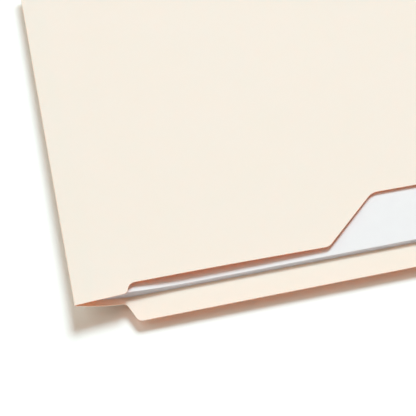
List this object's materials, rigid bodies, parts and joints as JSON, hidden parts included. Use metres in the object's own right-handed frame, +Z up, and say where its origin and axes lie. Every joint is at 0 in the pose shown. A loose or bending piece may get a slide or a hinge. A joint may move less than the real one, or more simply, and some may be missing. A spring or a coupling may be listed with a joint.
{
  "type": "file jacket",
  "caption": "Flat manila file jacket, closed on three sides, with a straight tab, an undercut front and a thumb notch at its mouth, holding loose sheets that slide out.",
  "frame": {"origin": "middle of the jacket's outline, on the surface that its back lies on", "axes": "+X along the mouth, -Y out of the mouth past the tab, +Y to the bottom fold, +Z up from the back panel to the front panel"},
  "size_m": [0.2984, 0.2414, 0.0095],
  "materials": {
    "manila_card": "matte cream card",
    "white_paper": "matte white paper",
    "dried_glue": "dried glue film"
  },
  "bodies": {
    "jacket": {"front_panel": "manila_card", "back_panel": "manila_card", "bottom_fold": "manila_card", "left_side_fold": "manila_card", "right_side_fold": "manila_card", "left_seam_flap": "manila_card", "right_seam_flap": "manila_card", "left_seam_glue": "dried_glue", "right_seam_glue": "dried_glue"},
    "document_1": {"document_1": "white_paper"},
    "document_2": {"document_2": "white_paper"},
    "document_3": {"document_3": "white_paper"},
    "document_4": {"document_4": "white_paper"},
    "document_5": {"document_5": "white_paper"},
    "document_6": {"document_6": "white_paper"},
    "document_7": {"document_7": "white_paper"},
    "document_8": {"document_8": "white_paper"},
    "top_sheet": {"top_sheet": "white_paper"}
  },
  "joints": [
    {"name": "document_1_slide", "type": "slide", "parent": "jacket", "child": "document_1", "axis": [0, -1, 0], "range_m": [-0.004, 0.19]},
    {"name": "document_2_slide", "type": "slide", "parent": "jacket", "child": "document_2", "axis": [0, -1, 0], "range_m": [-0.004, 0.19]},
    {"name": "document_3_slide", "type": "slide", "parent": "jacket", "child": "document_3", "axis": [0, -1, 0], "range_m": [-0.004, 0.19]},
    {"name": "document_4_slide", "type": "slide", "parent": "jacket", "child": "document_4", "axis": [0, -1, 0], "range_m": [-0.004, 0.19]},
    {"name": "document_5_slide", "type": "slide", "parent": "jacket", "child": "document_5", "axis": [0, -1, 0], "range_m": [-0.004, 0.19]},
    {"name": "document_6_slide", "type": "slide", "parent": "jacket", "child": "document_6", "axis": [0, -1, 0], "range_m": [-0.004, 0.19]},
    {"name": "document_7_slide", "type": "slide", "parent": "jacket", "child": "document_7", "axis": [0, -1, 0], "range_m": [-0.004, 0.19]},
    {"name": "document_8_slide", "type": "slide", "parent": "jacket", "child": "document_8", "axis": [0, -1, 0], "range_m": [-0.004, 0.19]},
    {"name": "top_sheet_slide", "type": "slide", "parent": "jacket", "child": "top_sheet", "axis": [0, -1, 0], "range_m": [-0.004, 0.19]}
  ]
}
